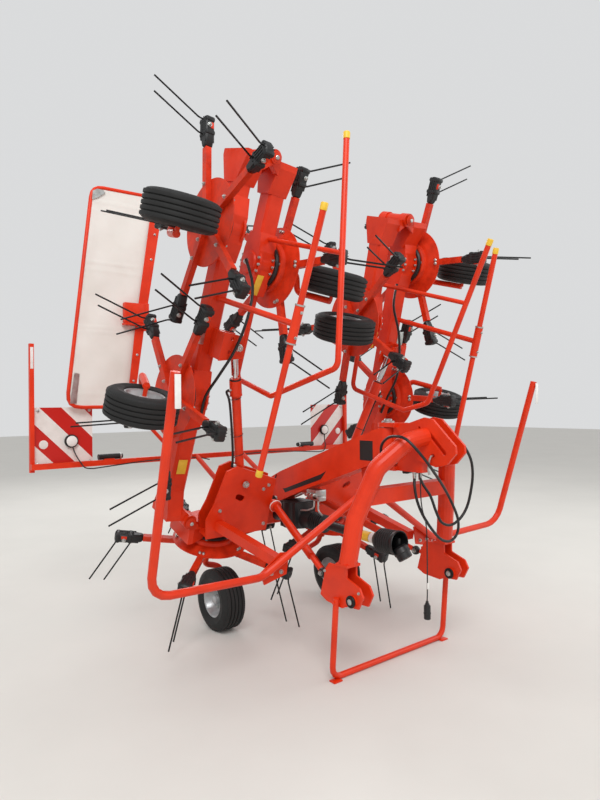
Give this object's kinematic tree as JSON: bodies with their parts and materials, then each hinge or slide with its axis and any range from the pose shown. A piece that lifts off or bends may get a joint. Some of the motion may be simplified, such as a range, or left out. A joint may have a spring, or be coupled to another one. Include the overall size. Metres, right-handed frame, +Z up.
{
  "type": "folded hay tedder",
  "caption": "Mounted rotary hay tedder folded upright on its parking stand, with tined rotors, wheels, headstock and folding wings.",
  "frame": {"origin": "centre of the footprint box, on the ground", "axes": "+Z up, -Y towards the tractor, +X to the right when seen from the tractor side along +Y"},
  "size_m": [3, 2.516, 3.2815],
  "materials": {
    "orange_paint": "gloss",
    "black_steel": "satin",
    "black_plastic": "matte",
    "tyre": "matte",
    "bright_steel": "satin",
    "board": "gloss",
    "cloth": "matte"
  },
  "bodies": {
    "frame": {"centre_beam": "orange_paint", "boom": "orange_paint", "guards": "orange_paint", "rear_bar": "orange_paint", "light_boards": "board", "lamps": "black_plastic", "deflector_frame": "orange_paint", "deflector_cloth": "cloth", "gearbox": "bright_steel", "drive_bell": "black_plastic", "damper_barrels": "orange_paint"},
    "headstock": {"headstock_arch": "orange_paint", "mast_plates": "orange_paint", "hitch_plates": "orange_paint", "hitch_pins": "bright_steel", "hose_left": "black_plastic", "hose_right": "black_plastic", "lamp_lead": "black_plastic", "lamp_plug": "black_plastic"},
    "stand": {"stand": "orange_paint"},
    "damper_rod_left": {"damper_rod_left": "orange_paint"},
    "damper_rod_right": {"damper_rod_right": "orange_paint"},
    "wing_left": {"wing_beam_left": "orange_paint", "wing_rails_left": "orange_paint"},
    "outer_left": {"outer_beam_left": "orange_paint", "outer_rails_left": "orange_paint"},
    "cylinder_left": {"cylinder_left": "orange_paint"},
    "piston_left": {"piston_rod_left": "bright_steel"},
    "wing_right": {"wing_beam_right": "orange_paint", "wing_rails_right": "orange_paint"},
    "outer_right": {"outer_beam_right": "orange_paint", "outer_rails_right": "orange_paint"},
    "cylinder_right": {"cylinder_right": "orange_paint"},
    "piston_right": {"piston_rod_right": "bright_steel"},
    "rotor_l1": {"rotor_l1": "orange_paint", "tines_l1": "black_steel"},
    "wheel_l1": {"wheel_l1": "tyre"},
    "rotor_l2": {"rotor_l2": "orange_paint", "tines_l2": "black_steel"},
    "wheel_l2": {"wheel_l2": "tyre"},
    "rotor_l3": {"rotor_l3": "orange_paint", "tines_l3": "black_steel"},
    "wheel_l3": {"wheel_l3": "tyre"},
    "rotor_l4": {"rotor_l4": "orange_paint", "tines_l4": "black_steel"},
    "wheel_l4": {"wheel_l4": "tyre"},
    "rotor_r1": {"rotor_r1": "orange_paint", "tines_r1": "black_steel"},
    "wheel_r1": {"wheel_r1": "tyre"},
    "rotor_r2": {"rotor_r2": "orange_paint", "tines_r2": "black_steel"},
    "wheel_r2": {"wheel_r2": "tyre"},
    "rotor_r3": {"rotor_r3": "orange_paint", "tines_r3": "black_steel"},
    "wheel_r3": {"wheel_r3": "tyre"},
    "rotor_r4": {"rotor_r4": "orange_paint", "tines_r4": "black_steel"},
    "wheel_r4": {"wheel_r4": "tyre"}
  },
  "joints": [
    {"name": "headstock_swing", "type": "hinge", "parent": "frame", "child": "headstock", "pos_m": [0, -0.74, 1.25], "axis": [0, 0, 1], "range_deg": [-12, 12]},
    {"name": "stand_fold", "type": "hinge", "parent": "headstock", "child": "stand", "pos_m": [0, -0.789, 0.441], "axis": [1, 0, 0], "range_deg": [0, 90]},
    {"name": "damper_slide_left", "type": "slide", "parent": "frame", "child": "damper_rod_left", "axis": [-0.2453, -0.9085, -0.3384], "range_m": [-0.09, 0.09]},
    {"name": "damper_slide_right", "type": "slide", "parent": "frame", "child": "damper_rod_right", "axis": [0.2453, -0.9085, -0.3384], "range_m": [-0.09, 0.09]},
    {"name": "wing_fold_left", "type": "hinge", "parent": "frame", "child": "wing_left", "pos_m": [-0.78, 0.38769, 0.79573], "axis": [0, -0.9511, -0.309], "range_deg": [0, 94]},
    {"name": "outer_fold_left", "type": "hinge", "parent": "wing_left", "child": "outer_left", "pos_m": [-0.59432, -0.31767, 2.96662], "axis": [0, -0.9511, -0.309], "range_deg": [0, 180]},
    {"name": "cylinder_tilt_left", "type": "hinge", "parent": "frame", "child": "cylinder_left", "pos_m": [-0.462, 0.16067, 1.00901], "axis": [0, -0.9511, -0.309], "range_deg": [0, 87]},
    {"name": "piston_slide_left", "type": "slide", "parent": "cylinder_left", "child": "piston_left", "axis": [-0.2375, -0.3002, 0.9239], "range_m": [0, 0.595]},
    {"name": "wing_fold_right", "type": "hinge", "parent": "frame", "child": "wing_right", "pos_m": [0.78, 0.38769, 0.79573], "axis": [0, 0.9511, 0.309], "range_deg": [0, 94]},
    {"name": "outer_fold_right", "type": "hinge", "parent": "wing_right", "child": "outer_right", "pos_m": [0.60409, -0.27452, 2.83379], "axis": [0, 0.9511, 0.309], "range_deg": [0, 180]},
    {"name": "cylinder_tilt_right", "type": "hinge", "parent": "frame", "child": "cylinder_right", "pos_m": [0.462, 0.16067, 1.00901], "axis": [0, 0.9511, 0.309], "range_deg": [0, 87]},
    {"name": "piston_slide_right", "type": "slide", "parent": "cylinder_right", "child": "piston_right", "axis": [0.2375, -0.3002, 0.9239], "range_m": [0, 0.595]},
    {"name": "spin_l1", "type": "hinge", "parent": "frame", "child": "rotor_l1", "pos_m": [-0.525, 0.46, 0.57318], "axis": [0, -0.309, 0.9511], "continuous": true},
    {"name": "roll_l1", "type": "hinge", "parent": "frame", "child": "wheel_l1", "pos_m": [-0.525, 0.31741, 0.203], "axis": [-1, 0, 0], "continuous": true},
    {"name": "spin_l2", "type": "hinge", "parent": "wing_left", "child": "rotor_l2", "pos_m": [-0.95797, 0.13758, 1.5655], "axis": [0.9976, 0.0216, -0.0663], "continuous": true},
    {"name": "roll_l2", "type": "hinge", "parent": "wing_left", "child": "wheel_l2", "pos_m": [-1.26522, -0.10683, 1.50868], "axis": [0.0698, -0.3083, 0.9487], "continuous": true},
    {"name": "spin_l3", "type": "hinge", "parent": "wing_left", "child": "rotor_l3", "pos_m": [-0.88473, -0.1861, 2.56168], "axis": [0.9976, 0.0216, -0.0663], "continuous": true},
    {"name": "roll_l3", "type": "hinge", "parent": "wing_left", "child": "wheel_l3", "pos_m": [-1.19198, -0.43051, 2.50486], "axis": [0.0698, -0.3083, 0.9487], "continuous": true},
    {"name": "spin_l4", "type": "hinge", "parent": "outer_left", "child": "rotor_l4", "pos_m": [-0.37716, -0.12557, 2.37538], "axis": [-0.9976, -0.0216, 0.0663], "continuous": true},
    {"name": "roll_l4", "type": "hinge", "parent": "outer_left", "child": "wheel_l4", "pos_m": [-0.06991, -0.35669, 2.27769], "axis": [-0.0698, 0.3083, -0.9487], "continuous": true},
    {"name": "spin_r1", "type": "hinge", "parent": "frame", "child": "rotor_r1", "pos_m": [0.525, 0.46, 0.57318], "axis": [0, -0.309, 0.9511], "continuous": true},
    {"name": "roll_r1", "type": "hinge", "parent": "frame", "child": "wheel_r1", "pos_m": [0.525, 0.31741, 0.203], "axis": [1, 0, 0], "continuous": true},
    {"name": "spin_r2", "type": "hinge", "parent": "wing_right", "child": "rotor_r2", "pos_m": [0.95797, 0.13758, 1.5655], "axis": [-0.9976, 0.0216, -0.0663], "continuous": true},
    {"name": "roll_r2", "type": "hinge", "parent": "wing_right", "child": "wheel_r2", "pos_m": [1.26522, -0.10683, 1.50868], "axis": [-0.0698, -0.3083, 0.9487], "continuous": true},
    {"name": "spin_r3", "type": "hinge", "parent": "wing_right", "child": "rotor_r3", "pos_m": [0.88473, -0.1861, 2.56168], "axis": [-0.9976, 0.0216, -0.0663], "continuous": true},
    {"name": "roll_r3", "type": "hinge", "parent": "wing_right", "child": "wheel_r3", "pos_m": [1.19198, -0.43051, 2.50486], "axis": [-0.0698, -0.3083, 0.9487], "continuous": true},
    {"name": "spin_r4", "type": "hinge", "parent": "outer_right", "child": "rotor_r4", "pos_m": [0.39669, -0.03926, 2.10973], "axis": [0.9976, -0.0216, 0.0663], "continuous": true},
    {"name": "roll_r4", "type": "hinge", "parent": "outer_right", "child": "wheel_r4", "pos_m": [0.08944, -0.27038, 2.01205], "axis": [0.0698, 0.3083, -0.9487], "continuous": true}
  ],
  "couplings": [
    {"joint": "damper_slide_left", "follows": "headstock_swing", "m_per_rad": 0.3977},
    {"joint": "damper_slide_right", "follows": "headstock_swing", "m_per_rad": -0.3977},
    {"joint": "outer_fold_left", "follows": "wing_fold_left", "ratio": 1.9148},
    {"joint": "cylinder_tilt_left", "follows": "wing_fold_left", "ratio": 0.9153},
    {"joint": "piston_slide_left", "follows": "wing_fold_left", "m_per_rad": 0.3599},
    {"joint": "outer_fold_right", "follows": "wing_fold_left", "ratio": 1.9148},
    {"joint": "wing_fold_right", "follows": "wing_fold_left", "ratio": 1},
    {"joint": "cylinder_tilt_right", "follows": "wing_fold_left", "ratio": 0.9153},
    {"joint": "piston_slide_right", "follows": "wing_fold_left", "m_per_rad": 0.3599},
    {"joint": "spin_l1", "follows": "spin_r1", "ratio": -1},
    {"joint": "spin_l2", "follows": "spin_r1", "ratio": 1},
    {"joint": "spin_l3", "follows": "spin_r1", "ratio": -1},
    {"joint": "spin_l4", "follows": "spin_r1", "ratio": 1},
    {"joint": "spin_r2", "follows": "spin_r1", "ratio": -1},
    {"joint": "spin_r3", "follows": "spin_r1", "ratio": 1},
    {"joint": "spin_r4", "follows": "spin_r1", "ratio": -1}
  ]
}
